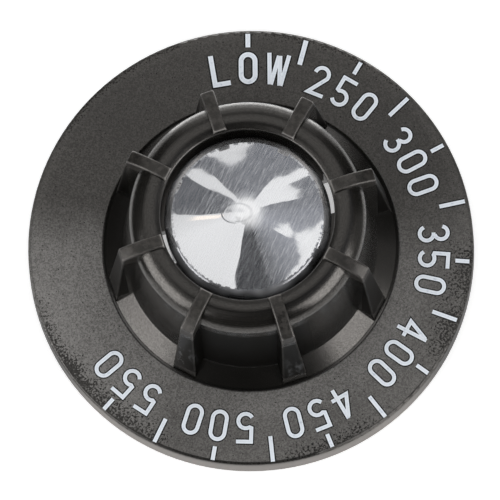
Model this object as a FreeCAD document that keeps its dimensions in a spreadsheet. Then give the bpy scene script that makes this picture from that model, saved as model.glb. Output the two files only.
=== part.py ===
# Oven control knob: a moulded dial with a ribbed hub, a pressed metal cap and a shaft spring.
# Millimetres and degrees. Z is the shaft axis and points to the hand. The origin is on that axis,
# in the plane of the back rim. The first rib is turned from X by rib_phase.
import FreeCAD, Part
import os
import Sketcher

doc = FreeCAD.newDocument("oven_control_knob")

# Driving sizes
SIZES = {
    "skirt_dia": 64.0,          # dial across its back rim
    "skirt_height": 4.2,        # back rim to dial face
    "skirt_draft": 2.0,         # lean of the rim's outer wall
    "rim_wall": 1.8,            # wall of the turned-down rim
    "plate_thickness": 2.2,     # dial plate
    "face_edge": 0.4,           # rounding of the dial's outer edge
    "back_edge": 0.25,          # rounding of the back rim's outer edge
    "groove_width": 0.36,       # small groove round the hub's foot
    "groove_depth": 0.14,
    "lip_dia": 33.3,            # outer edge of the top ring, before it is rounded
    "lip_edge": 1.0,
    "hub_spread": 1.55,         # how far the hub wall leans out from that edge to the flare
    "flare_spread": 2.75,       # how far the flared foot goes on from there
    "flare_height": 2.3,
    "ring_height": 20.42,       # dial face to the edge of the well
    "ring_fall": 1.895,         # edge of the well down to the ring's outer edge
    "ring_width": 4.43,
    "ring_bulge": 3.05,         # radius of the ring's rounded top
    "well_depth": 5.02,
    "well_edge": 0.25,
    "rib_count": 8,
    "rib_phase": 17.4,
    "rib_top_width": 1.95,
    "rib_foot_width": 3.7,
    "rib_proud": 1.97,          # outer top corner of a rib outside the ring's edge
    "rib_corner_drop": 0.22,    # edge of the well down to that corner
    "rib_stand": 1.03,          # edge of the well up to the top of a rib
    "rib_crown_inset": 2.65,    # where a rib is highest, inside the ring's edge
    "rib_foot_inset": 0.15,     # outer face of a rib inside the foot of the flare
    "rib_set_back": 0.2,        # inner end of a rib behind the well's edge
    "rib_edge": 0.25,
    "hub_wall": 2.2,
    "floor_thickness": 2.2,     # floor of the well
    "core_draft": 1.5,          # lean of the stem
    "stem_dia": 11.4,           # stem at its mouth
    "stem_recess": 1.6,         # back rim to the mouth of the stem
    "web_count": 4,
    "web_thickness": 1.6,
    "web_depth": 10.0,
    "shaft_dia": 6.35,
    "shaft_flat": 4.76,         # shaft across its flat
    "shaft_clearance": 0.05,
    "socket_depth": 14.2,
    "recess_width": 4.2,        # recess for the spring, beside the flat
    "recess_depth": 1.4,
    "recess_length": 11.0,
    "spring_sheet": 0.4,
    "spring_bend": 0.6,         # outer radius of the spring's bend
    "spring_bow": 0.4,          # how far its free leg bows towards the shaft
    "spring_clearance": 0.2,
    "cap_gap": 0.5,             # gap between the cap and the wall of the well
    "cap_drop": 1.72,           # edge of the well down to the edge of the cap
    "cap_slope": 18.0,
    "cap_tip_radius": 7.0,
    "cap_sheet": 0.5,
    "cap_edge": 1.5,            # outer radius of the cap's turned-down edge
    "tab_width": 3.2,
    "tab_bend": 0.2,            # inner radius of the fold of a tab
    "tab_fold": 2.6,            # length folded under the floor
    "tab_lap": 1.0,             # height over which a tab runs into the cap's skirt
    "slot_length": 4.9,
    "slot_clearance": 0.25,     # behind the tab
    "slot_reach": 0.75,         # how far a slot runs under the wall of the well
    "slot_roof": 1.02,          # edge of the well down to the top of a slot
}

# Sizes that follow from the driving ones
FOLLOWING = {
    "skirt_radius": "skirt_dia / 2",
    "face_radius": "skirt_radius - skirt_height * tan(skirt_draft)",
    "plate_under": "skirt_height - plate_thickness",
    "rim_mouth_radius": "skirt_radius - rim_wall",
    "rim_root_radius": "rim_mouth_radius - plate_under * tan(skirt_draft)",
    "lip_radius": "lip_dia / 2",
    "well_radius": "lip_radius - ring_width",
    "flare_radius": "lip_radius + hub_spread",
    "flare_foot_radius": "flare_radius + flare_spread",
    "groove_radius": "flare_foot_radius + groove_width",
    "groove_middle": "flare_foot_radius + groove_width / 2",
    "groove_bottom": "skirt_height - groove_depth",
    "flare_top": "skirt_height + flare_height",
    "ring_level": "skirt_height + ring_height",
    "lip_level": "ring_level - ring_fall",
    "well_floor": "ring_level - well_depth",
    "floor_under": "well_floor - floor_thickness",
    "hub_lean": "(flare_radius - lip_radius) / (lip_level - flare_top)",
    "cavity_top_radius": "lip_radius + (lip_level - floor_under) * hub_lean - hub_wall",
    "cavity_mouth_radius": "lip_radius + (lip_level - plate_under) * hub_lean - hub_wall",
    "stem_radius": "stem_dia / 2",
    "stem_root_radius": "stem_radius + (floor_under - stem_recess) * tan(core_draft)",
    "rib_corner_radius": "lip_radius + rib_proud",
    "rib_corner_height": "ring_height - rib_corner_drop",
    "rib_foot_radius": "flare_foot_radius - rib_foot_inset",
    "rib_lean": "(rib_foot_radius - rib_corner_radius) / rib_corner_height",
    "rib_taper": "(rib_foot_width - rib_top_width) / rib_corner_height",
    "rib_root": "plate_thickness / 2",
    "rib_rise": "ring_height + rib_stand + rib_top_width",
    "rib_inner": "well_radius + rib_set_back",
    "rib_low_outer": "rib_foot_radius + rib_lean * rib_root",
    "rib_low_half": "(rib_foot_width + rib_taper * rib_root) / 2",
    "rib_high_outer": "rib_foot_radius - rib_lean * rib_rise",
    "rib_high_half": "(rib_foot_width - rib_taper * rib_rise) / 2",
    "crown_middle": "lip_radius - rib_crown_inset",
    "crown_fall": "rib_stand + rib_corner_drop",
    "crown_reach": "rib_corner_radius - crown_middle",
    "crown_radius": "(crown_reach ^ 2 + crown_fall ^ 2) / (2 * crown_fall)",
    "crown_centre": "ring_level + rib_stand - crown_radius",
    "crown_start": "crown_centre + sqrt(crown_radius ^ 2 - (crown_middle - well_radius) ^ 2)",
    "crown_end_radius": "rib_corner_radius + rib_top_width",
    "crown_end": "crown_centre + sqrt(crown_radius ^ 2 - (crown_end_radius - crown_middle) ^ 2)",
    "crown_clear": "skirt_height + 2 * rib_rise",
    "socket_radius": "shaft_dia / 2 + shaft_clearance",
    "flat_offset": "shaft_flat - shaft_dia / 2 + shaft_clearance",
    "recess_back": "flat_offset + recess_depth",
    "spring_low": "stem_recess + spring_clearance",
    "spring_bend_level": "spring_low + spring_bend",
    "spring_end": "stem_recess + recess_length - spring_clearance",
    "spring_width": "recess_width - 2 * spring_clearance",
    "spring_back_leg": "recess_back - spring_sheet",
    "spring_bend_inside": "spring_low + spring_sheet",
    "spring_inner_bend": "spring_bend - spring_sheet",
    "spring_mid": "recess_back - spring_bend",
    "spring_front": "recess_back - 2 * spring_bend",
    "spring_free_leg": "spring_front + spring_sheet",
    "spring_span": "spring_end - spring_bend_level",
    "spring_bow_radius": "(spring_span ^ 2 / 4 + spring_bow ^ 2) / (2 * spring_bow)",
    "cap_radius": "well_radius - cap_gap",
    "cap_rim": "ring_level - cap_drop",
    "cap_drape": "cap_sheet / cos(cap_slope)",
    "cap_tip_reach": "cap_tip_radius * sin(cap_slope)",
    "cap_tip_start": "cap_rim + (cap_radius - cap_tip_reach) * tan(cap_slope)",
    "cap_tip_centre": "cap_tip_start - cap_tip_radius * cos(cap_slope)",
    "cap_tip": "cap_tip_centre + cap_tip_radius",
    "cap_inner_radius": "cap_radius - cap_sheet",
    "cap_inner_rim": "cap_rim + cap_sheet * tan(cap_slope) - cap_drape",
    "cap_inner_edge": "cap_edge - cap_sheet",
    "cap_inner_tip_radius": "cap_tip_radius - cap_sheet",
    "cap_inner_tip_reach": "cap_inner_tip_radius * sin(cap_slope)",
    "cap_inner_tip_start": "cap_tip_centre + cap_inner_tip_radius * cos(cap_slope)",
    "cap_inner_tip": "cap_tip - cap_sheet",
    "tab_outer": "sqrt(cap_radius ^ 2 - tab_width ^ 2 / 4)",
    "tab_inner": "tab_outer - cap_sheet",
    "tab_turn": "cap_sheet + tab_bend",
    "tab_low": "floor_under - cap_sheet",
    "tab_turn_level": "tab_low + tab_turn",
    "tab_turn_radius": "tab_outer - tab_turn",
    "tab_end": "tab_outer - tab_fold",
    "tab_top": "well_floor + tab_lap",
    "slot_inner": "tab_inner - slot_clearance",
    "slot_outer": "well_radius + slot_reach",
    "slot_height": "ring_level - slot_roof - floor_under",
}

sheet = doc.addObject("Spreadsheet::Sheet", "sizes")
cells = [(name, str(number)) for name, number in SIZES.items()]
cells += [(name, "=" + rule) for name, rule in FOLLOWING.items()]
for row, (name, content) in enumerate(cells, start=1):
    sheet.set(f"A{row}", name)
    sheet.set(f"B{row}", content)
    sheet.setAlias(f"B{row}", name)
doc.recompute()


def size(name):
    """Gives a size from the sheet as a number."""
    return float(sheet.get(name))


def new_body(label):
    """Makes an empty body for one piece, turned about the shaft axis to the first rib."""
    body = doc.addObject("PartDesign::Body", label)
    body.Label = label
    body.Placement = FreeCAD.Placement(FreeCAD.Vector(), FreeCAD.Rotation(FreeCAD.Vector(0, 0, 1), 1))
    body.setExpression("Placement.Rotation.Angle", "sizes.rib_phase")
    return body


def origin_part(body, role):
    """Finds one of a body's own origin planes or axes."""
    return next(part for part in body.Origin.OriginFeatures if part.Role == role)


def new_sketch(body, name, plane, level=None):
    """Puts a sketch on an origin plane of the body, lifted to a level of the sheet."""
    sketch = body.newObject("Sketcher::SketchObject", name)
    sketch.AttachmentSupport = (origin_part(body, plane), [""])
    sketch.MapMode = "FlatFace"
    if level:
        sketch.setExpression("AttachmentOffset.Base.z", f"sizes.{level}")
    return sketch


def pin(sketch, edge, end, across, along):
    """Ties one end of an edge to two sizes, given as names of the sheet, with a minus or "0"."""
    for kind, name, axis in (("DistanceX", across, -2), ("DistanceY", along, -1)):
        if name == "0":
            sketch.addConstraint(Sketcher.Constraint("PointOnObject", edge, end, axis))
            continue
        plain = name.lstrip("-")
        points = (edge, end, -1, 1) if name.startswith("-") else (-1, 1, edge, end)
        index = sketch.addConstraint(Sketcher.Constraint(kind, *points, size(plain)))
        sketch.setExpression(f"Constraints[{index}]", f"sizes.{plain}")


def spot(across, along):
    """Gives the point that two signed names of the sheet stand for."""
    signed = [0.0 if n == "0" else -size(n[1:]) if n.startswith("-") else size(n) for n in (across, along)]
    return FreeCAD.Vector(*signed, 0)


def bow(start, end, radius, side):
    """Makes the short arc between two points. It bulges to the left of the way for side 1."""
    middle = (start + end) / 2
    half = (end - start) / 2
    left = FreeCAD.Vector(-half.y, half.x, 0).normalize()
    rise = radius - (radius ** 2 - half.Length ** 2) ** 0.5
    return Part.Arc(start, middle + left * rise * side, end)


def outline(sketch, points, arcs=None):
    """Draws a closed outline through points of the sheet. arcs gives, for the number of the point
    where an arc starts, the name of its radius and the side to which it bulges."""
    arcs = arcs or {}
    spots = [spot(*point) for point in points]
    ends = []
    for number, start in enumerate(spots):
        end = spots[(number + 1) % len(spots)]
        if number in arcs:
            radius, side = arcs[number]
            sketch.addGeometry(bow(start, end, size(radius), side), False)
            ends.append((2, 1) if side > 0 else (1, 2))
        else:
            sketch.addGeometry(Part.LineSegment(start, end), False)
            ends.append((1, 2))
    for number in range(len(spots)):
        following = (number + 1) % len(spots)
        joint = (number, ends[number][1], following, ends[following][0])
        sketch.addConstraint(Sketcher.Constraint("Coincident", *joint))
    for number, (radius, _) in arcs.items():
        index = sketch.addConstraint(Sketcher.Constraint("Radius", number, size(radius)))
        sketch.setExpression(f"Constraints[{index}]", f"sizes.{radius}")
    for number, point in enumerate(points):
        pin(sketch, number, ends[number][0], *point)


def turned(body, kind, name, sketch):
    """Turns a sketch about the shaft axis, as a solid (Revolution) or as a cut (Groove)."""
    feature = body.newObject("PartDesign::" + kind, name)
    feature.Profile = sketch
    feature.ReferenceAxis = (sketch, ["V_Axis"])
    feature.Angle = 360
    doc.recompute()
    return feature


def drawn_out(body, kind, name, sketch, length, upward=True, both_ways=False):
    """Draws a sketch out straight, as a solid (Pad) or as a cut (Pocket)."""
    feature = body.newObject("PartDesign::" + kind, name)
    feature.Profile = sketch
    feature.setExpression("Length", f"sizes.{length}")
    feature.SideType = "Symmetric" if both_ways else "One side"
    feature.Reversed = upward if kind == "Pocket" else not upward
    doc.recompute()
    return feature


def around(body, name, feature, count):
    """Repeats a feature round the shaft axis."""
    pattern = body.newObject("PartDesign::PolarPattern", name)
    pattern.Originals = [feature]
    pattern.Axis = (origin_part(body, "Z_Axis"), [""])
    pattern.Angle = 360
    if isinstance(count, str):
        pattern.setExpression("Occurrences", f"sizes.{count}")
    else:
        pattern.Occurrences = count
    body.Tip = pattern
    doc.recompute()
    return pattern


def rounded(body, name, base, edges, radius):
    """Rounds the named edges of a feature."""
    fillet = body.newObject("PartDesign::Fillet", name)
    fillet.Base = (base, edges)
    fillet.setExpression("Radius", f"sizes.{radius}")
    body.Tip = fillet
    doc.recompute()
    return fillet


def ring_edges(feature, radius, level):
    """Names the full circles about the shaft axis that have this radius and level."""
    names = []
    for number, edge in enumerate(feature.Shape.Edges, start=1):
        if edge.Degenerated or not isinstance(edge.Curve, Part.Circle):
            continue
        off = abs(edge.Curve.Radius - size(radius)) + abs(edge.Curve.Center.z - level)
        if off < 1e-4:
            names.append(f"Edge{number}")
    return names


def knob_moulding():
    """The moulding: turned outer form, ribs, hollow back with stem and webs, socket and slots."""
    body = new_body("knob_body")

    # Dial plate, flared hub, rounded ring and well
    section = new_sketch(body, "moulding_section", "XZ_Plane")
    outline(section, [
        ("0", "0"),
        ("skirt_radius", "0"),
        ("face_radius", "skirt_height"),
        ("groove_radius", "skirt_height"),
        ("groove_middle", "groove_bottom"),
        ("flare_foot_radius", "skirt_height"),
        ("flare_radius", "flare_top"),
        ("lip_radius", "lip_level"),
        ("well_radius", "ring_level"),
        ("well_radius", "well_floor"),
        ("0", "well_floor"),
    ], {7: ("ring_bulge", -1)})
    form = turned(body, "Revolution", "moulding", section)
    for name, ring, level, radius in (
        ("face_rounding", "face_radius", size("skirt_height"), "face_edge"),
        ("back_rounding", "skirt_radius", 0.0, "back_edge"),
        ("lip_rounding", "lip_radius", size("lip_level"), "lip_edge"),
        ("well_rounding", "well_radius", size("ring_level"), "well_edge"),
    ):
        form = rounded(body, name, form, ring_edges(form, ring, level), radius)

    # Ribs, wider and further out at the foot, cut to one crowned top
    foot = new_sketch(body, "rib_foot", "XY_Plane")
    foot.setExpression("AttachmentOffset.Base.z", "sizes.skirt_height - sizes.rib_root")
    top = new_sketch(body, "rib_top", "XY_Plane")
    top.setExpression("AttachmentOffset.Base.z", "sizes.skirt_height + sizes.rib_rise")
    for sketch, outer, half in (
        (foot, "rib_low_outer", "rib_low_half"),
        (top, "rib_high_outer", "rib_high_half"),
    ):
        outline(sketch, [
            ("rib_inner", "-" + half),
            (outer, "-" + half),
            (outer, half),
            ("rib_inner", half),
        ])
    doc.recompute()
    rib = body.newObject("PartDesign::AdditiveLoft", "rib")
    rib.Profile = foot
    rib.Sections = [top]
    rib.Ruled = True
    doc.recompute()
    around(body, "ribs", rib, "rib_count")
    crown = new_sketch(body, "rib_crown", "XZ_Plane")
    crown.AttachmentOffset = FreeCAD.Placement(
        FreeCAD.Vector(), FreeCAD.Rotation(FreeCAD.Vector(0, 1, 0), 1))
    crown.setExpression("AttachmentOffset.Rotation.Angle", "180 / sizes.rib_count")
    outline(crown, [
        ("well_radius", "crown_start"),
        ("crown_end_radius", "crown_end"),
        ("crown_end_radius", "crown_clear"),
        ("well_radius", "crown_clear"),
    ], {0: ("crown_radius", 1)})
    crowned = turned(body, "Groove", "crowned_ribs", crown)
    rounded(body, "rib_rounding", crowned, rib_edges(crowned), "rib_edge")

    # Hollow back round the stem
    hollow = new_sketch(body, "back_section", "XZ_Plane")
    outline(hollow, [
        ("0", "0"),
        ("rim_mouth_radius", "0"),
        ("rim_root_radius", "plate_under"),
        ("cavity_mouth_radius", "plate_under"),
        ("cavity_top_radius", "floor_under"),
        ("stem_root_radius", "floor_under"),
        ("stem_radius", "stem_recess"),
        ("0", "stem_recess"),
    ])
    turned(body, "Groove", "hollow_back", hollow)

    # Webs between stem and hub, half way between ribs
    web_plan = new_sketch(body, "web_plan", "XY_Plane", "floor_under")
    web_plan.AttachmentOffset = FreeCAD.Placement(
        FreeCAD.Vector(), FreeCAD.Rotation(FreeCAD.Vector(0, 0, 1), 1))
    web_plan.setExpression("AttachmentOffset.Base.z", "sizes.floor_under")
    web_plan.setExpression("AttachmentOffset.Rotation.Angle", "360 / sizes.rib_count")
    strip(web_plan, "shaft_flat", "cavity_mouth_radius", "web_thickness")
    web = drawn_out(body, "Pad", "web", web_plan, "web_depth", upward=False)
    around(body, "webs", web, "web_count")

    # Shaft socket with its flat, and the spring's recess beside the flat
    mouth = new_sketch(body, "socket_plan", "XY_Plane", "stem_recess")
    shaft_outline(mouth)
    drawn_out(body, "Pocket", "socket", mouth, "socket_depth")
    recess = new_sketch(body, "recess_plan", "XY_Plane", "stem_recess")
    recess.AttachmentOffset = FreeCAD.Placement(
        FreeCAD.Vector(), FreeCAD.Rotation(FreeCAD.Vector(0, 0, 1), 90))
    recess.setExpression("AttachmentOffset.Base.z", "sizes.stem_recess")
    strip(recess, "spring_sheet", "recess_back", "recess_width")
    drawn_out(body, "Pocket", "spring_recess", recess, "recess_length")

    # Slots in the well floor for the cap's tabs
    slot_plan = new_sketch(body, "slot_plan", "XY_Plane", "floor_under")
    strip(slot_plan, "slot_inner", "slot_outer", "slot_length")
    slot = drawn_out(body, "Pocket", "slot", slot_plan, "slot_height")
    around(body, "slots", slot, 2)
    return body


def strip(sketch, start, end, width):
    """Draws a rectangle along X that is centred on it."""
    half = size(width) / 2
    corners = [(size(start), -half), (size(end), -half), (size(end), half), (size(start), half)]
    spots = [FreeCAD.Vector(x, y, 0) for x, y in corners]
    for number in range(4):
        sketch.addGeometry(Part.LineSegment(spots[number], spots[(number + 1) % 4]), False)
    for number in range(4):
        sketch.addConstraint(Sketcher.Constraint("Coincident", number, 2, (number + 1) % 4, 1))
    sketch.addConstraint(Sketcher.Constraint("Symmetric", 1, 1, 1, 2, -1))
    sketch.addConstraint(Sketcher.Constraint("Symmetric", 3, 1, 3, 2, -1))
    for edge, name in ((3, start), (1, end)):
        index = sketch.addConstraint(Sketcher.Constraint("DistanceX", -1, 1, edge, 1, size(name)))
        sketch.setExpression(f"Constraints[{index}]", f"sizes.{name}")
    for edge in (1, 3):
        bottom, upper = ((edge, 1), (edge, 2)) if edge == 1 else ((edge, 2), (edge, 1))
        index = sketch.addConstraint(Sketcher.Constraint("DistanceY", *bottom, *upper, size(width)))
        sketch.setExpression(f"Constraints[{index}]", f"sizes.{width}")


def shaft_outline(sketch):
    """Draws the round shaft with one flat, which faces Y."""
    radius = size("socket_radius")
    flat = size("flat_offset")
    half = (radius ** 2 - flat ** 2) ** 0.5
    left = FreeCAD.Vector(-half, flat, 0)
    right = FreeCAD.Vector(half, flat, 0)
    sketch.addGeometry(Part.Arc(left, FreeCAD.Vector(0, -radius, 0), right), False)
    sketch.addGeometry(Part.LineSegment(right, left), False)
    sketch.addConstraint(Sketcher.Constraint("Coincident", 0, 3, -1, 1))
    sketch.addConstraint(Sketcher.Constraint("Coincident", 0, 2, 1, 1))
    sketch.addConstraint(Sketcher.Constraint("Coincident", 0, 1, 1, 2))
    sketch.addConstraint(Sketcher.Constraint("Horizontal", 1))
    index = sketch.addConstraint(Sketcher.Constraint("Radius", 0, radius))
    sketch.setExpression(f"Constraints[{index}]", "sizes.socket_radius")
    index = sketch.addConstraint(Sketcher.Constraint("DistanceY", -1, 1, 1, 1, flat))
    sketch.setExpression(f"Constraints[{index}]", "sizes.flat_offset")


def rib_edges(feature):
    """Names the edges of the ribs' crowned tops, apart from their inner ends, and of their outer faces."""
    names = []
    crown_faces = [face for face in feature.Shape.Faces if is_crown(face)]
    outside = (size("lip_radius") + size("rib_corner_radius")) / 2
    for number, edge in enumerate(feature.Shape.Edges, start=1):
        reach = [(v.X ** 2 + v.Y ** 2) ** 0.5 for v in edge.Vertexes]
        upright = edge.BoundBox.ZLength > size("rib_corner_height") / 2
        if upright and min(reach) > outside:
            names.append(f"Edge{number}")
        elif max(reach) > size("crown_middle"):
            if any(edge.isSame(other) for face in crown_faces for other in face.Edges):
                names.append(f"Edge{number}")
    return names


def is_crown(face):
    """Tells whether a face is on the crowned surface that the rib tops share."""
    for corner in face.Vertexes:
        reach = (corner.X ** 2 + corner.Y ** 2) ** 0.5 - size("crown_middle")
        away = (reach ** 2 + (corner.Z - size("crown_centre")) ** 2) ** 0.5
        if abs(away - size("crown_radius")) > 1e-4:
            return False
    return True


def metal_cap():
    """The cap: a pressed cone with a turned-down edge and two tabs folded under the well floor."""
    body = new_body("centre_cap")
    section = new_sketch(body, "cap_section", "XZ_Plane")
    outline(section, [
        ("0", "cap_tip"),
        ("0", "cap_inner_tip"),
        ("cap_inner_tip_reach", "cap_inner_tip_start"),
        ("cap_inner_radius", "cap_inner_rim"),
        ("cap_inner_radius", "well_floor"),
        ("cap_radius", "well_floor"),
        ("cap_radius", "cap_rim"),
        ("cap_tip_reach", "cap_tip_start"),
    ], {1: ("cap_inner_tip_radius", 1), 7: ("cap_tip_radius", -1)})
    cone = turned(body, "Revolution", "cone", section)
    for name, ring, level, radius in (
        ("cap_rounding", "cap_radius", "cap_rim", "cap_edge"),
        ("cap_inner_rounding", "cap_inner_radius", "cap_inner_rim", "cap_inner_edge"),
    ):
        cone = rounded(body, name, cone, ring_edges(cone, ring, size(level)), radius)
    fold = new_sketch(body, "tab_section", "XZ_Plane")
    outline(fold, [
        ("tab_outer", "tab_top"),
        ("tab_inner", "tab_top"),
        ("tab_inner", "tab_turn_level"),
        ("tab_turn_radius", "floor_under"),
        ("tab_end", "floor_under"),
        ("tab_end", "tab_low"),
        ("tab_turn_radius", "tab_low"),
        ("tab_outer", "tab_turn_level"),
    ], {2: ("tab_bend", 1), 6: ("tab_turn", -1)})
    tab = drawn_out(body, "Pad", "tab", fold, "tab_width", both_ways=True)
    around(body, "tabs", tab, 2)
    return body


def steel_spring():
    """The spring: a strip bent back on itself, one leg on the recess, the other bowed to the shaft."""
    body = new_body("shaft_spring")
    section = new_sketch(body, "spring_section", "YZ_Plane")
    outline(section, [
        ("recess_back", "spring_bend_level"),
        ("recess_back", "spring_end"),
        ("spring_back_leg", "spring_end"),
        ("spring_back_leg", "spring_bend_level"),
        ("spring_mid", "spring_bend_inside"),
        ("spring_free_leg", "spring_bend_level"),
        ("spring_free_leg", "spring_end"),
        ("spring_front", "spring_end"),
        ("spring_front", "spring_bend_level"),
        ("spring_mid", "spring_low"),
    ], {
        3: ("spring_inner_bend", 1),
        4: ("spring_inner_bend", 1),
        5: ("spring_bow_radius", 1),
        7: ("spring_bow_radius", -1),
        8: ("spring_bend", -1),
        9: ("spring_bend", -1),
    })
    drawn_out(body, "Pad", "strip", section, "spring_width", both_ways=True)
    return body


pieces = [knob_moulding(), metal_cap(), steel_spring()]
doc.recompute()

# Every feature has to be sound, and every piece one valid solid, before anything is written
for item in doc.Objects:
    faults = {"Invalid", "Error"} & set(item.State)
    if faults:
        raise RuntimeError(f"{item.Label} is {faults}")
for piece in pieces:
    shape = piece.Shape
    if shape.isNull() or not shape.isValid() or len(shape.Solids) != 1:
        raise RuntimeError(f"{piece.Label} is not one valid solid")

os.makedirs("parts", exist_ok=True)
for piece in pieces:
    piece.Shape.exportStep(f"parts/{piece.Label}.step")
    print(piece.Label, round(piece.Shape.Volume, 1), "mm3", piece.Shape.BoundBox)
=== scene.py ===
import math

import bpy
from mathutils import Matrix, Vector


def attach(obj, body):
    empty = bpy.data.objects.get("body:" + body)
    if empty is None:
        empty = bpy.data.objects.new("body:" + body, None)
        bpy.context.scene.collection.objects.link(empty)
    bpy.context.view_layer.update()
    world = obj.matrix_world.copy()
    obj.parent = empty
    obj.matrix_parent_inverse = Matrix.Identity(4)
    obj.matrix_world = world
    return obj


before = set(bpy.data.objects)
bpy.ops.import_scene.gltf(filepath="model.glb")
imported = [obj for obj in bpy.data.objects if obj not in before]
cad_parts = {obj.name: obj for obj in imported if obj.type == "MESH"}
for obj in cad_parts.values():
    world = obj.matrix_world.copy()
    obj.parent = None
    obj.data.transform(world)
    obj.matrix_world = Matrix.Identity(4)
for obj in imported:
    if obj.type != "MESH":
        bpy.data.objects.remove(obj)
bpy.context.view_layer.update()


# The moulding: dial, flared hub, ring and ribs are one black heat-resisting plastic, pressed in a
# steel mould that was polished for the hub and turned with fine rings for the satin dial. The dial
# is paler over its front half, hands have worn its edge black in patches, and the hub's edges are
# pale, partly rubbed and partly a painted highlight.
class Wire:
    """A socket of a node tree. Sums with it add Math nodes, and make adds any other node."""

    def __init__(self, tree, socket=None):
        self.tree = tree
        self.socket = socket

    def make(self, kind, settings=None, inputs=None, out=0):
        """Adds a node: its settings first, with a ramp's stops, then its sockets' values or links."""
        node = self.tree.nodes.new("ShaderNode" + kind)
        for name, setting in (settings or {}).items():
            if name != "stops":
                setattr(node, name, setting)
                continue
            ramp = node.color_ramp.elements
            while len(ramp) < len(setting):
                ramp.new(1.0)
            for element, (position, level) in zip(ramp, setting):
                element.position = position
                element.color = (level, level, level, 1)
        for name, value in (inputs or {}).items():
            if isinstance(value, Wire):
                self.tree.links.new(value.socket, node.inputs[name])
            else:
                node.inputs[name].default_value = value
        return Wire(self.tree, node.outputs[out]) if node.outputs else None

    def maths(self, operation, first, second=0.0):
        return self.make("Math", {"operation": operation}, {0: first, 1: second})

    def __add__(self, other):
        return self.maths("ADD", self, other)

    def __radd__(self, other):
        return self.maths("ADD", other, self)

    def __sub__(self, other):
        return self.maths("SUBTRACT", self, other)

    def __rsub__(self, other):
        return self.maths("SUBTRACT", other, self)

    def __mul__(self, other):
        return self.maths("MULTIPLY", self, other)

    def __rmul__(self, other):
        return self.maths("MULTIPLY", other, self)

    def __truediv__(self, other):
        return self.maths("DIVIDE", self, other)

    def __rtruediv__(self, other):
        return self.maths("DIVIDE", other, self)

    def __pow__(self, other):
        return self.maths("POWER", self, other)

    def __rpow__(self, other):
        return self.maths("POWER", other, self)

    def at_least(self, other):
        return self.maths("MAXIMUM", self, other)

    def step(self, low, high):
        """0 up to low and 1 from high on, with a smooth rise. It falls where high is under low."""
        return self.make("MapRange", {"interpolation_type": "SMOOTHSTEP"},
                         {"Value": self, "From Min": low, "From Max": high})

    def tint(self, start, end):
        """The colour from start to end as this value goes from 0 to 1. Mix has colours in 6 and 7."""
        first, last = [
            colour if isinstance(colour, Wire) else (*colour, 1) for colour in (start, end)]
        return self.make("Mix", {"data_type": "RGBA"}, {"Factor": self, 6: first, 7: last}, out=2)


MM = 0.001


def new_finish(name):
    """An empty material, a wire to its tree, the place on the object in millimetres, and its parts."""
    finish = bpy.data.materials.new(name)
    finish.use_nodes = True
    finish.node_tree.nodes.clear()
    wire = Wire(finish.node_tree)
    metres = wire.make("TexCoord", out="Object")
    place = wire.make("VectorMath", {"operation": "SCALE"}, {0: metres, "Scale": 1 / MM})
    parts = [wire.make("SeparateXYZ", inputs={0: place}, out=axis) for axis in "XYZ"]
    return finish, wire, place, parts


def noise(wire, place, per_mm, detail=3.0, roughness=0.6):
    return wire.make("TexNoise", inputs={
        "Vector": place, "Scale": per_mm, "Detail": detail, "Roughness": roughness})


def dress(node, finish):
    """Gives a solid of the frame its finish and the record's slot for it."""
    node.data.materials.clear()
    node.data.materials.append(finish)


moulding_finish, wire, place, (x, y, z) = new_finish("black_moulding")
reach = (x * x + y * y) ** 0.5
to_back = y / reach
in_front = to_back.step(-0.48, -0.78)

# Where its regions lie, in millimetres from the shaft axis and above the back rim
dial_foot, dial_edge, dial_level = 20.9, 31.9, 4.2
flare_radius, flare_top, wall_top = 18.2, 6.5, 22.0
rib_face = 18.5
ring_middle, ring_centre_level, ring_round = 13.699, 21.953, 3.05
on_dial = reach.step(dial_foot + 0.15, dial_foot + 0.35) * z.step(dial_level - 0.5, dial_level - 0.2)
on_rim = reach.step(dial_edge - 0.6, dial_edge - 0.2) * z.step(dial_level - 0.15, dial_level - 0.45)
in_corner = (z.step(dial_level + 0.8, dial_level + 0.4)
             * reach.step(dial_foot - 0.2, dial_foot - 0.05)
             * reach.step(dial_foot + 0.5, dial_foot + 0.25))
on_flare = (z.step(flare_top + 0.4, flare_top - 0.2)
            * reach.step(flare_radius - 0.3, flare_radius)
            * reach.step(dial_foot + 0.1, dial_foot - 0.1))
on_front_wall = (z.step(flare_top, flare_top + 1.0)
                 * z.step(wall_top, wall_top - 1.5)
                 * to_back.step(-0.80, -0.93))
on_side_rib = (reach.step(rib_face, rib_face + 0.4)
               * z.step(flare_top + 0.1, flare_top + 0.9)
               * z.step(wall_top + 1.2, wall_top + 0.2)
               * to_back.step(-0.85, -0.6))
on_ring = z.step(wall_top - 1.0, wall_top + 0.5)
from_middle = reach - ring_middle
ring_level = ring_centre_level + (ring_round ** 2 - from_middle * from_middle) ** 0.5
on_rib_top = (z - ring_level).step(0.2, 0.45)

# The grain of its skin, the turned lines of the mould, and slow clouds in the plastic
grain = noise(wire, place, 4.4, 2.0, 0.7)
sandy = grain.step(0.38, 0.62)
clouds = noise(wire, place, 0.07, 4.0, 0.55)
flow = noise(wire, place, 0.16, 3.0, 0.6)
turned_lines = wire.make("TexNoise", {"noise_dimensions": "1D"}, {"W": reach * 3.4 + flow, "Detail": 3.0})

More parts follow.
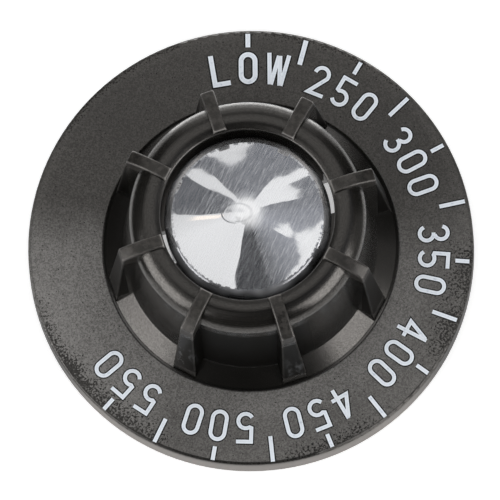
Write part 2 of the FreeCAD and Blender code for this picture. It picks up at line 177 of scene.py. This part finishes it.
# Worn patches of the dial: turn and half spread in degrees, innermost reach, and depth
specks = noise(wire, place, 3.1, 2.0, 0.6)
patches = noise(wire, place, 0.25, 3.0, 0.6)
wear = 0
for turn, spread, inner, depth in (
    (229, 23, 26.8, 0.90), (206, 17, 29.0, 0.85), (344, 22, 26.2, 0.95),
    (291, 17, 28.4, 0.80), (70, 30, 30.0, 0.80), (128, 30, 30.2, 0.80),
):
    turn, spread = math.radians(turn), math.radians(spread)
    towards = (x * math.cos(turn) + y * math.sin(turn)) / reach
    patch = towards.step(math.cos(spread), math.cos(spread * 0.3)) * reach.step(inner, dial_edge - 0.3)
    wear = wear + depth * patch
wear = wear * patches.step(0.15, 0.55)
# A dark line round the dial's edge, weakest at the back and strongest at the front
edge_line = reach.step(dial_edge - 0.6, dial_edge - 0.45) * reach.step(dial_edge - 0.04, dial_edge - 0.2)
edge_line = edge_line * (0.25 + 0.2 * to_back.step(0.3, -0.1) + 0.55 * in_front)
worn_specks_and_edge_line = on_dial * (specks + 0.23 * wear).step(0.64, 0.675).at_least(edge_line)
satin = on_dial * (1 - 0.85 * worn_specks_and_edge_line)

# The dial's tone: paler over its front half, most of all on the left
left_side = ((x * -0.94 - y * 0.34) / reach).step(0.45, 0.95)
front_half = (to_back + 0.5 * (clouds - 0.5)).step(0.36, -0.10)
pale_front = front_half * (0.45 + 0.27 * reach.step(27.5, 23.5)).at_least(left_side)
mottle = 0.2 * clouds.step(0.3, 0.7) + 0.2 * turned_lines.step(0.3, 0.7) + 0.6 * sandy
dark_mottle = mottle * mottle + 0.2 * reach.step(dial_edge - 2.1, dial_edge - 0.7)
dark_dial = dark_mottle.tint((0.0005, 0.0005, 0.0005), (0.060, 0.058, 0.053))
pale_dial = mottle.tint((0.050, 0.049, 0.047), (0.225, 0.220, 0.214))

# Pale edges, found by how little plastic lies round them: partly rubbed wear and partly a painted
# highlight on their roundings, palest near the top. And two ribs rubbed by hands
edge_width = 0.38 * MM
inside = wire.make("AmbientOcclusion", {"inside": True, "only_local": True, "samples": 8},
                   {"Distance": edge_width}, out="AO")
edge_wear_and_highlight = reach.step(dial_foot, dial_foot - 0.3) * inside.step(0.90, 0.55)
edge_wear_and_highlight = edge_wear_and_highlight * (0.4 + 0.6 * z.step(wall_top - 2.5, wall_top))
rubbed = 0
for turn, level in ((287.4, 8.5), (242.4, 10.5)):
    turn = math.radians(turn)
    beside = (x * math.sin(turn) - y * math.cos(turn)).step(1.6, 0.5)
    ahead = (x * math.cos(turn) + y * math.sin(turn)).step(rib_face + 0.4, rib_face + 0.8)
    rubbed = rubbed + beside * ahead * z.step(level - 3.5, level) * z.step(level + 8, level + 3)
tall_place = wire.make("VectorMath", {"operation": "MULTIPLY"}, {0: place, 1: (1, 1, 0.35)})
rubbed = rubbed * noise(wire, tall_place, 0.9, 3.0, 0.6).step(0.45, 0.72)
scuffs = noise(wire, place, 1.1, 3.0, 0.65).step(0.42, 0.62)

# Its colour, from the whole moulding down to the smallest marks
hub_mottle = 0.4 * clouds + 0.6 * grain.step(0.4, 0.7)
hub_shade = hub_mottle.tint((0.0010, 0.0009, 0.0006), (0.0064, 0.0059, 0.0046))
# The rim's front is painted pale grey, palest low down: a painted reflection of the white table
rim_painted_reflection = in_front * (0.7 + 0.3 * z.step(dial_level - 0.5, dial_level - 1.8))
rim_reflection_shade = rim_painted_reflection.tint((0.014, 0.012, 0.010), (0.195, 0.180, 0.167))
ring_lines = on_ring * turned_lines.step(0.45, 0.70) * (0.3 + 0.7 * grain)
shade = satin.tint(hub_shade, pale_front.tint(dark_dial, pale_dial))
shade = ring_lines.tint(shade, (0.026, 0.024, 0.021))
shade = on_rim.tint(shade, rim_reflection_shade)
shade = (on_rib_top * (0.3 * sandy + 0.7 * scuffs)).tint(shade, (0.034, 0.031, 0.028))
# Convex edges painted pale: partly wear, partly a painted highlight
shade = (edge_wear_and_highlight * (0.45 + 0.55 * clouds.step(0.3, 0.6))).tint(shade, (0.32, 0.305, 0.29))
shade = rubbed.tint(shade, (0.075, 0.077, 0.080))

# Its gloss: a polished hub and a satin dial, with a duller skin on worn and sheltered parts
polish = 0.17 + 0.06 * clouds.step(0.35, 0.7) + 0.05 * grain
roughness = (polish + satin * (0.22 + 0.16 * grain) + on_rim * 0.36 + rubbed * 0.2
             + on_rib_top * (0.02 + 0.16 * turned_lines))
relief = (grain * (0.5 + 0.8 * on_ring + 0.5 * satin + 1.5 * on_flare)
          + turned_lines * (0.25 + 0.6 * on_ring + 0.3 * satin))
relief_strength, relief_depth = 0.3, 0.02 * MM
bump = wire.make("Bump", inputs={
    "Strength": relief_strength, "Distance": relief_depth, "Height": relief})
skin = wire.make("BsdfPrincipled", inputs={
    "Base Color": shade, "Roughness": roughness, "Normal": bump, "IOR": 1.68,
    "Specular Tint": (1.0, 0.95, 0.90, 1)})
dull_skin = wire.make("BsdfPrincipled", inputs={
    "Base Color": shade, "Roughness": 0.4, "IOR": 1.3, "Specular IOR Level": 0.15})
dullness = (on_front_wall + on_rib_top * (0.2 + 0.5 * grain) + 0.55 * worn_specks_and_edge_line + 0.7 * in_corner
            + on_rim * 0.6 * (1 - in_front)
            + sandy * (0.35 * on_flare + 0.42 * on_ring * (1 - on_rib_top))
            + 0.9 * on_side_rib)
surface = wire.make("MixShader", inputs={0: dullness, 1: skin, 2: dull_skin})
wire.make("OutputMaterial", inputs={"Surface": surface})
dress(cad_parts["knob_body"], moulding_finish)

# The dial lines: cool white print, pressed into the satin face with a heated stamp. Each stroke is
# brighter along its two sides, where the stamp squeezed the print out, and has a dark outline.
print_finish, wire, place, _ = new_finish("white_print")
ink = wire.make("Attribute", {"attribute_name": "ink"}, out="Fac")
flecks = noise(wire, place, 1.5, 3.0, 0.65)
white = (ink - 0.3 * flecks.step(0.52, 0.75)).step(0.3, 1.0).tint((0.54, 0.60, 0.70), (0.89, 0.94, 1.0))
print_shade = ink.step(0.1, 0.5).tint((0.004, 0.004, 0.004), white)
print_skin = wire.make("BsdfPrincipled", inputs={
    "Base Color": print_shade, "Roughness": 0.42 + 0.2 * flecks, "Specular IOR Level": 0.2})
wire.make("OutputMaterial", inputs={"Surface": print_skin})

# One side of a stroke, from its edge inwards: share of half its width, height over the dial, and ink
stroke_side = (
    (1.66, -0.020, 0.0), (1.64, 0.006, 0.0), (1.06, 0.008, 0.0),
    (1.00, 0.028, 1.0), (0.74, 0.036, 1.0), (0.42, 0.032, 0.8),
)
stroke_section = [(-share, rise, inked) for share, rise, inked in stroke_side] + [*reversed(stroke_side)]
least_mitre_cosine = 0.45


def sweep(points, closed, half, to_dial, verts, inks, faces):
    """Sweeps the section of a stamped stroke along a line of points."""
    count = len(points)
    wide = len(stroke_section)
    first = len(verts)
    for i, point in enumerate(points):
        ends = []
        if i > 0 or closed:
            ends.append((points[i - 1], point))
        if i < count - 1 or closed:
            ends.append((point, points[(i + 1) % count]))
        ways = [(Vector(end) - Vector(start)).normalized() for start, end in ends]
        way = (ways[0] + ways[-1]).normalized()
        mitre = 1 / max(way.dot(ways[0]), least_mitre_cosine)
        aside = Vector((way.y, -way.x)) * half * mitre
        for share, rise, inked in stroke_section:
            spot = to_dial(point[0] + aside.x * share, point[1] + aside.y * share)
            verts.append((spot.x * MM, spot.y * MM, (dial_level + rise) * MM))
            inks.append(inked)
    for i in range(count if closed else count - 1):
        row = first + i * wide
        next_row = first + (i + 1) % count * wide
        for j in range(wide):
            k = (j + 1) % wide
            faces.append((row + j, row + k, next_row + k, next_row + j))
    if not closed:
        last = first + (count - 1) * wide
        faces.append([first + j for j in reversed(range(wide))])
        faces.append([last + j for j in range(wide)])


stamp_slip = Vector((-0.10, -0.10))


def dial_place(turn, radius):
    """The rule from a flat place beside a mark to the dial, for a clockwise turn from +Y."""
    turn = math.radians(turn)
    outward = Vector((math.sin(turn), math.cos(turn)))
    clockwise = Vector((math.cos(turn), -math.sin(turn)))
    return lambda across, up: outward * (radius + up) + clockwise * across + stamp_slip


def stamped(name, strokes):
    """One piece of print from its strokes: points, whether they close, half width, and place."""
    verts, inks, faces = [], [], []
    for points, closed, half, to_dial in strokes:
        sweep(points, closed, half, to_dial, verts, inks, faces)
    shape = bpy.data.meshes.new(name)
    shape.from_pydata(verts, [], faces)
    shape.attributes.new("ink", "FLOAT", "POINT").data.foreach_set("value", inks)
    shape.materials.append(print_finish)
    piece = bpy.data.objects.new(name, shape)
    bpy.context.collection.objects.link(piece)
    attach(piece, "root")


mark_turns = (
    -0.1, 15.4, 31.0, 46.7, 62.4, 78.5, 94.7, 110.7, 126.7, 142.7, 158.6, 174.5, 190.2, 206.1, 221.9)
line_outer = 31.42
number_line_inner, between_line_inner = 29.42, 27.72
first_lines_half, line_half = 0.33, 0.28
lines = []
for mark, turn in enumerate(mark_turns):
    inner = between_line_inner if mark % 2 else number_line_inner
    half = first_lines_half if mark < 2 else line_half
    lines.append((((0, inner), (0, line_outer)), False, half, dial_place(turn, 0)))
stamped("dial_lines", lines)

# The dial characters: the word LOW and the numbers, stamped with the lines. Every character stands
# upright on its own radius, and each stroke is as wide as the tool that cut the stamp.
top, foot, side = 4.33, 0.30, 1.0


def bend(centre, radius, start, end, steps=14):
    """Points on an arc between two angles in degrees."""
    angles = [math.radians(start + (end - start) * i / steps) for i in range(steps + 1)]
    return [(centre[0] + radius * math.cos(a), centre[1] + radius * math.sin(a)) for a in angles]


loop = (bend((0, top - side), side, 180, 0) + bend((0, foot + side), side, 0, -180), True)
character_strokes = {
    "0": [loop],
    "O": [loop],
    "2": [(bend((0, top - side), side, 178, -22) + [(-side, foot), (side + 0.3, foot)], False)],
    "3": [(bend((0, top - 0.95), 0.95, 165, -78), False), (bend((0, foot + side), side, 96, -160), False)],
    "4": [([(0.42, 0.0), (0.42, top + 0.34)], False),
          ([(0.30, top + 0.1), (-1.05, 1.42), (0.15, 1.42)], False), ([(0.72, 1.42), (1.32, 1.42)], False)],
    "5": [([(side + 0.25, top), (-0.88, top), (-0.88, 2.35)]
           + bend((-0.05, foot + 1.05), 1.05, 122, -150), False)],
    "L": [([(-0.95, top + 0.34), (-0.95, foot), (1.3, foot)], False)],
    "W": [([(-1.42, top + 0.34), (-0.70, 0.05)], False), ([(-0.54, 0.05), (0.02, top + 0.1)], False),
          ([(0.20, top + 0.1), (0.70, 0.05)], False), ([(0.86, 0.05), (1.46, top + 0.34)], False)],
}
words = ("LOW", "250", "300", "350", "400", "450", "500", "550")
character_foot = 24.02
letter_spacing, number_spacing = 9.0, 8.25
letter_half = {"L": 0.34, "O": 0.34, "W": 0.29}
number_half = 0.27
characters = []
for word, word_turn in zip(words, mark_turns[::2]):
    spacing = letter_spacing if word == "LOW" else number_spacing
    for order, character in enumerate(word):
        turn = word_turn + (order - 1) * spacing
        half = letter_half.get(character, number_half)
        for points, closed in character_strokes[character]:
            characters.append((points, closed, half, dial_place(turn, character_foot)))
stamped("dial_characters", characters)

# The spring: a strip of blued spring steel, dull from its heat treatment, bent over a bar and pushed
# into the recess beside the socket's flat, where it grips the shaft.
spring_finish, wire, place, _ = new_finish("spring_steel")
tempered = noise(wire, place, 0.9)
steel = wire.make("BsdfPrincipled", inputs={
    "Base Color": tempered.tint((0.20, 0.19, 0.20), (0.42, 0.40, 0.38)), "Metallic": 1.0,
    "Roughness": 0.3 + 0.2 * tempered})
wire.make("OutputMaterial", inputs={"Surface": steel})
dress(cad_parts["shaft_spring"], spring_finish)

# The cap: bright rolled aluminium sheet pressed to a shallow cone, with two tabs folded under the
# well's floor. Straight rolling lines still run across its face, and its turned-down edge is nicked
# all round and painted dark at the front, a painted shade.
cap_finish, wire, place, (x, y, z) = new_finish("bright_cap")
reach = (x * x + y * y) ** 0.5
to_back = y / reach

# Rolling lines, pits and shallow dents of the sheet
rolling = math.radians(64)
along = x * math.cos(rolling) + y * math.sin(rolling)
across = x * math.sin(rolling) - y * math.cos(rolling)
streak_place = wire.make("CombineXYZ", inputs={"X": across * 6.6, "Y": along * 0.55, "Z": z * 0.1})
streaks = noise(wire, streak_place, 1.0, 4.0, 0.75)
pits = noise(wire, place, 3.2, 2.0, 0.5).step(0.70, 0.76)
patchy = noise(wire, place, 0.25, 1.0, 0.5).step(0.3, 0.7)
dents = noise(wire, place, 0.22, 2.0, 0.5) + 0.6 * noise(wire, place, 0.6, 1.0, 0.5) * reach.step(8.8, 10.6)

# A small oval beside the tip, in relief and darker in its haze: its outline and its far half
oval_across, oval_along = (x + 1.35) / 1.95, (y + 0.1) / 1.3
oval = (oval_across * oval_across + oval_along * oval_along) ** 0.5
outline = oval.step(0.84, 1.0) * oval.step(1.2, 1.04)
far_half = 0.8 * oval.step(0.7, 0.3) * (oval_along + 0.1).step(0.0, 0.25)
grey_oval = (outline + far_half) * (0.4 + 0.6 * patchy)

# The turned-down edge with its nicks
turn_down = 10.70
turn = wire.maths("ARCTAN2", y, x)
nick_noise = wire.make("TexNoise", {"noise_dimensions": "1D"}, {"W": turn * 3.2 + 9.0, "Detail": 2.0})
nicks = nick_noise.step(0.47, 0.50)
front_edge = to_back.step(-0.2, -0.5)
turned_edge = (reach + 0.34 * nicks.at_least(0.6 * front_edge)).step(turn_down, turn_down + 0.14)

# Bright metal under a haze that gathers on the lines and leaves two wedges clearer. Round the tip
# the haze is thicker and whiter: a painted highlight
metal_shade = (streaks - 0.5 * pits).tint((0.84, 0.85, 0.87), (0.91, 0.91, 0.92))
# The front of the turned edge is painted dark: a painted shade
metal_shade = (turned_edge * front_edge).tint(metal_shade, (0.20, 0.20, 0.21))
cap_bump = wire.make("Bump", inputs={
    "Strength": relief_strength, "Distance": relief_depth, "Height": dents * 0.55 + grey_oval * 1.5})
mirror = wire.make("BsdfPrincipled", inputs={
    "Base Color": metal_shade, "Metallic": 1.0, "Roughness": 0.03 + 0.17 * turned_edge,
    "Normal": cap_bump})
# Whiter haze round the tip: a painted highlight
haze_and_highlight_shade = reach.step(3.0, 1.0).tint((0.76, 0.77, 0.80), (0.93, 0.93, 0.94))
haze_and_highlight_shade = grey_oval.tint(haze_and_highlight_shade, (0.56, 0.57, 0.59))
haze = wire.make("BsdfPrincipled", inputs={"Base Color": haze_and_highlight_shade, "Roughness": 0.6})
front_wedge = ((0.05 * x - y) / reach).step(0.955, 0.99) * reach.step(1.2, 3.2)
left_wedge = ((0.36 * y - 0.93 * x) / reach).step(0.95, 0.99) * reach.step(5.0, 7.5)
clear = front_wedge + 0.8 * left_wedge
# More haze round the tip, painting it white: a painted highlight
face_haze_and_tip_highlight = 0.40 * streaks.step(0.25, 0.76) + 0.05 * pits + 0.68 * reach.step(3.6, 0.8)
# The edge's haze thins at the back and leaves it darker: a painted shade
edge_haze_and_back_shade = turned_edge * (0.04 + 0.30 * patchy) * (1 - 0.8 * to_back.step(0.80, 0.97))
haze_and_painted_light = face_haze_and_tip_highlight * (1 - 0.45 * clear) * (1 - turned_edge) + edge_haze_and_back_shade
brightwork = wire.make("MixShader", inputs={0: haze_and_painted_light, 1: mirror, 2: haze})
wire.make("OutputMaterial", inputs={"Surface": brightwork})
dress(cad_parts["centre_cap"], cap_finish)

# The camera: a long lens almost straight above the dial. It leans from the shaft axis towards the
# foot of the dial, and the picture leans the other way.
picture_pixels = 500
pixels_per_mm = 6.995
pixels_right, pixels_up = 0.65, 3.9
camera_distance = 900 * MM
camera_lean, camera_turn, picture_lean = [math.radians(angle) for angle in (12.6, 5.54, 6.16)]
sideways = Vector((math.cos(camera_turn), math.sin(camera_turn), 0))
away = Vector((-sideways.y, sideways.x, 0))
upright = Vector((0, 0, 1))
rising = away * math.cos(camera_lean) + upright * math.sin(camera_lean)
towards_lens = upright * math.cos(camera_lean) - away * math.sin(camera_lean)
picture_right = sideways * math.cos(picture_lean) - rising * math.sin(picture_lean)
picture_up = sideways * math.sin(picture_lean) + rising * math.cos(picture_lean)
off_centre = (picture_right * pixels_right + picture_up * pixels_up) / pixels_per_mm
aim = (upright * dial_level - off_centre) * MM
lens = bpy.data.cameras.new("lens")
lens.angle = 2 * math.atan(picture_pixels / 2 * MM / pixels_per_mm / camera_distance)
lens.clip_start = 10 * MM
camera = bpy.data.objects.new("camera", lens)
camera.matrix_world = Matrix((picture_right, picture_up, towards_lens)).transposed().to_4x4()
camera.location = aim + towards_lens * camera_distance
bpy.context.collection.objects.link(camera)
bpy.context.scene.camera = camera
bpy.context.scene.view_settings.view_transform = "Standard"

# The table: a wide sheet of matt white paper, a hair under the rim. It shows white to the lens and
# in bright metal, and takes the light as paper does, so the knob's shadow stays on it.
table_radius, table_drop = 4.0, 0.02 * MM
table_finish, wire, _, _ = new_finish("white_table")
ways_seen = [wire.make("LightPath", out=f"Is {ray} Ray") for ray in ("Camera", "Glossy", "Transmission")]
seen = ways_seen[0].at_least(ways_seen[1]).at_least(ways_seen[2])
paper = wire.make("BsdfDiffuse", inputs={"Color": (0.86, 0.86, 0.86, 1)})
glow = wire.make("Emission", inputs={"Strength": 0.5 * seen})
wire.make("OutputMaterial", inputs={"Surface": wire.make("AddShader", inputs={0: paper, 1: glow})})
bpy.ops.mesh.primitive_circle_add(
    vertices=96, radius=table_radius, fill_type="NGON", location=(0, 0, -table_drop))
table = bpy.context.object
table.name = "white_table"
table.data.materials.append(table_finish)

# The room: plain walls all round, painted matt white. Their light is even and reaches the knob from
# every side.
room = bpy.data.worlds.new("room")
bpy.context.scene.world = room
room.use_nodes = True
room.node_tree.nodes.clear()
wire = Wire(room.node_tree)
wire.make("OutputWorld", inputs={"Surface": wire.make("Background", inputs={"Strength": 1.0})})


# The softboxes: one on each side of the lens, low enough to shine along the hub. Each has a lamp for
# its light and a bright cloth front for what gloss shows of it.
def glowing(name, level):
    """A finish that gives off even white light."""
    finish, wire, _, _ = new_finish(name)
    wire.make("OutputMaterial", inputs={"Surface": wire.make("Emission", inputs={"Strength": level})})
    return finish


def hang(name, verts, faces, finish):
    """Hangs a card that is seen in gloss alone."""
    sheet = bpy.data.meshes.new(name)
    sheet.from_pydata(verts, [], faces)
    sheet.materials.append(finish)
    card = bpy.data.objects.new(name, sheet)
    card.visible_camera = card.visible_diffuse = card.visible_shadow = False
    card.visible_transmission = False
    bpy.context.collection.objects.link(card)


lamp_distance, cloth_distance = 0.41, 0.40
lamp_level, cloth_level = 0.7, 4.8
cloth_finish = glowing("softbox_cloth", cloth_level)
for name, turn, lean, width, height in (
    ("softbox_left", 207, 57, 0.29, 0.32),
    ("softbox_right", 330, 57, 0.25, 0.32),
):
    turn, lean = math.radians(turn), math.radians(lean)
    from_knob = Vector((math.cos(turn) * math.sin(lean), math.sin(turn) * math.sin(lean), math.cos(lean)))
    facing = from_knob.to_track_quat("Z", "Y")
    lamp = bpy.data.lights.new(name, "AREA")
    lamp.shape = "RECTANGLE"
    lamp.size, lamp.size_y = width, height
    lamp.energy = lamp_level * math.pi * width * height
    stand = bpy.data.objects.new(name, lamp)
    stand.location = lamp_distance * from_knob
    stand.rotation_euler = facing.to_euler()
    bpy.context.collection.objects.link(stand)
    corners = [Vector((right * width / 2, up * height / 2, 0))
               for right, up in ((-1, -1), (1, -1), (1, 1), (-1, 1))]
    cloth_points = [cloth_distance * from_knob + facing @ corner for corner in corners]
    hang(name + "_cloth", cloth_points, [range(len(corners))], cloth_finish)

# The screens: black cloth hung all round as a dome, with a bright wall left open behind. More of it
# lies on the table at both sides, and a strip of bright paper lies there behind the knob.
screen_radius = 0.48
screen_finish, wire, _, parts = new_finish("dark_screens")
x, y, z = [part * (MM / screen_radius) for part in parts]
level_way = (x * x + y * y) ** 0.5
behind = (y / level_way).step(0.80, 0.96) * z.step(0.75, 0.55)
beside = (x / level_way).step(0.96, 0.98) * (y / level_way).step(0.28, 0.20) * z.step(0.85, 0.60)
screen_level = 0.05 + 0.85 * behind + 1.6 * behind * z.step(0.2, 0.05) + 0.3 * beside
wire.make("OutputMaterial", inputs={"Surface": wire.make("Emission", inputs={"Strength": screen_level})})
around, upwards = 48, 12
top_lift = math.radians(88)
screen_points = []
for row in range(upwards + 1):
    lift = top_lift * row / upwards
    for column in range(around):
        turn = math.tau * column / around
        screen_points.append([screen_radius * part for part in (
            math.cos(lift) * math.cos(turn), math.cos(lift) * math.sin(turn), math.sin(lift))])
screen_faces = []
for row in range(upwards):
    for column in range(around):
        next_column = (column + 1) % around
        screen_faces.append((row * around + column, row * around + next_column,
                             (row + 1) * around + next_column, (row + 1) * around + column))
hang("dark_screens", screen_points, screen_faces, screen_finish)
bright_finish = glowing("back_paper", level=3.6)
sheet_steps, sheet_lift = 12, 1 * MM
for name, start, end, near, far, finish in (
    ("side_cloth_left", 138, 202, 0.072, 0.47, screen_finish),
    ("side_cloth_right", -15, 48, 0.072, 0.47, screen_finish),
    ("back_paper", 58, 125, 0.036, 0.085, bright_finish),
):
    turns = [math.radians(start + (end - start) * step / sheet_steps) for step in range(sheet_steps + 1)]
    inner = [(near * math.cos(turn), near * math.sin(turn), sheet_lift) for turn in turns]
    outer = [(far * math.cos(turn), far * math.sin(turn), sheet_lift) for turn in reversed(turns)]
    hang(name, inner + outer, [range(len(inner + outer))], finish)

# The cards: white, grey and warm paper, cut with scissors and hung high above the cap. Only gloss
# shows them, and each is cut for what the lens sees of it in the cap.
card_height = 240.0
cap_edge_radius, cap_edge_level = 11.72, 22.9
cap_slope, cap_tip_radius = math.radians(18), 7.0

# The papers' middles and sizes are drawn for cards hung this far over the cap, and grow with the height
drawn_height = 57.1
card_spread = (card_height - cap_edge_level) / drawn_height
card_middle = Vector((-1.8, 20.7)) * card_spread
fade_middle, fade_start, fade_end = 12.0, 27, 45


def card_point(turn, radius, height):
    """Where the lens, looking at a place on the cap, sees a card at this height in it."""
    turn = math.radians(turn)
    slope = math.asin(min(math.sin(cap_slope), radius / cap_tip_radius))
    level = cap_edge_level + (cap_edge_radius - radius) * math.tan(cap_slope)
    out = Vector((math.cos(turn), math.sin(turn), 0))
    spot = out * radius + upright * level
    normal = out * math.sin(slope) + upright * math.cos(slope)
    sight = (spot - camera.location / MM).normalized()
    seen_way = sight.reflect(normal)
    hit = spot + seen_way * ((height - level) / seen_way.z)
    return hit * MM


def card_paper(name, colour, levels, fading=False):
    """Card whose brightness goes round its middle, from levels at turns in degrees. It may fade outwards."""
    finish, wire, _, (x, y, _) = new_finish(name)
    turn = wire.maths("ARCTAN2", y - card_middle.y, x - card_middle.x)
    share = wire.maths("FRACT", turn / math.tau + 1.0)
    stops = [(degrees / 360, level) for degrees, level in levels]
    strength = wire.make("ValToRGB", {"stops": stops}, {"Fac": share})
    if fading:
        along, across = y / card_spread - fade_middle, x / card_spread
        outwards = (along * along + across * across) ** 0.5
        strength = strength * (1 - 0.6 * outwards.step(fade_start, fade_end))
    wire.make("OutputMaterial", inputs={"Surface": wire.make(
        "Emission", inputs={"Color": (*colour, 1), "Strength": strength})})
    return finish


grey_paper = card_paper("grey_cards", (0.92, 0.96, 1.08), (
    (0, 0.20), (14, 0.15), (90, 0.15), (150, 0.09), (180, 0.08),
    (262, 0.03), (284, 0.03), (300, 0.17), (330, 0.31), (355, 0.23)))
white_paper = card_paper("white_cards", (1.0, 1.0, 1.0), (
    (0, 0.92), (60, 0.90), (84, 0.74), (140, 0.76), (182, 0.68), (205, 0.88), (250, 0.84), (300, 0.95)))
over_paper = card_paper("overhead_card", (1.0, 1.0, 1.0), ((0, 0.95), (360, 0.95)), fading=True)
gleam_paper = card_paper("warm_cards", (1.0, 0.90, 0.80), ((0, 1.25), (360, 1.25)))

# Each card: its paper, its rise over the others, and its corners as turn and reach on the cap
cards = (
    ("card_right", white_paper, 0, (
        (23, 1.6), (21, 4), (20, 6), (18.5, 7.2), (19, 7.7), (26, 7.9), (33, 7.35),
        (37, 7.2), (35.5, 8), (34, 9), (33.5, 12), (39, 12), (43, 9), (46, 7.8),
        (50, 7.1), (54, 6.3), (55.5, 5), (56.5, 4), (58, 1.6))),
    ("card_far", white_paper, 0, (
        (80, 12), (86, 10), (90, 9), (97, 8), (105, 7.5), (112, 7.9), (117, 8.8), (121, 9.8), (126, 12))),
    ("card_leaf", white_paper, 0, (
        (117, 1.8), (124, 3), (127, 4), (129, 5), (129, 6.5), (130, 7.5), (133, 8.5), (136, 9.5), (138, 10.5),
        (144, 10.5), (145.5, 9), (146, 7.5), (145, 6), (142, 5), (140, 4), (137, 3), (134, 1.8))),
    ("card_left", white_paper, 0, (
        (179, 2), (180, 4), (180, 6.5), (178, 9), (174, 12), (263, 12), (260, 9.5),
        (258, 8.5), (259, 7), (260, 6), (259, 4), (260, 3), (262, 1.8), (225, 1.8))),
    ("card_low", white_paper, 0, (
        (297, 12), (301, 10.2), (306, 10), (315, 9.9), (320, 9.3), (325, 8.5),
        (330, 8.05), (342, 8), (347, 8.7), (352, 9.5), (357, 10.5), (363, 12))),
    ("card_corner", white_paper, 0, (
        (327, 4.6), (335, 5), (345, 5.5), (350, 5.8), (343, 6.2), (338, 7), (332, 7), (329, 6.2))),
    ("card_gleam", gleam_paper, -1, (
        (181, 7.4), (182, 5), (184, 3.6), (188, 3.5), (190, 3.9), (187, 5.5), (185, 7.6))),
    ("card_over", over_paper, 1, (
        (0, 1.75), (20, 1.95), (58, 2.05), (65, 2.05), (90, 2.05), (105, 2.05), (118, 2.2),
        (130, 2.5), (150, 2.8), (165, 3.1), (178, 3.3), (195, 2.2), (225, 1.1), (245, 0.7),
        (260, 0.5), (275, 0.45), (300, 0.55), (320, 0.8), (340, 1.2))),
)
round_step = 6
for name, finish, rise, corners in cards:
    points = []
    for (turn, radius), (next_turn, next_radius) in zip(corners, corners[1:] + corners[:1]):
        steps = 1 + int(abs(next_turn - turn) // round_step) if radius == next_radius else 1
        for step in range(steps):
            points.append(card_point(turn + (next_turn - turn) * step / steps, radius, card_height + rise))
    hang(name, points, [range(len(points))], finish)
grey_radius, grey_rise = 58.0 * card_spread, 2
grey_points = []
for step in range(around):
    turn = math.tau * step / around
    grey_points.append((
        (card_middle.x + grey_radius * math.cos(turn)) * MM,
        (card_middle.y + grey_radius * math.sin(turn)) * MM,
        (card_height + grey_rise) * MM))
hang("card_grey", grey_points, [range(around)], grey_paper)
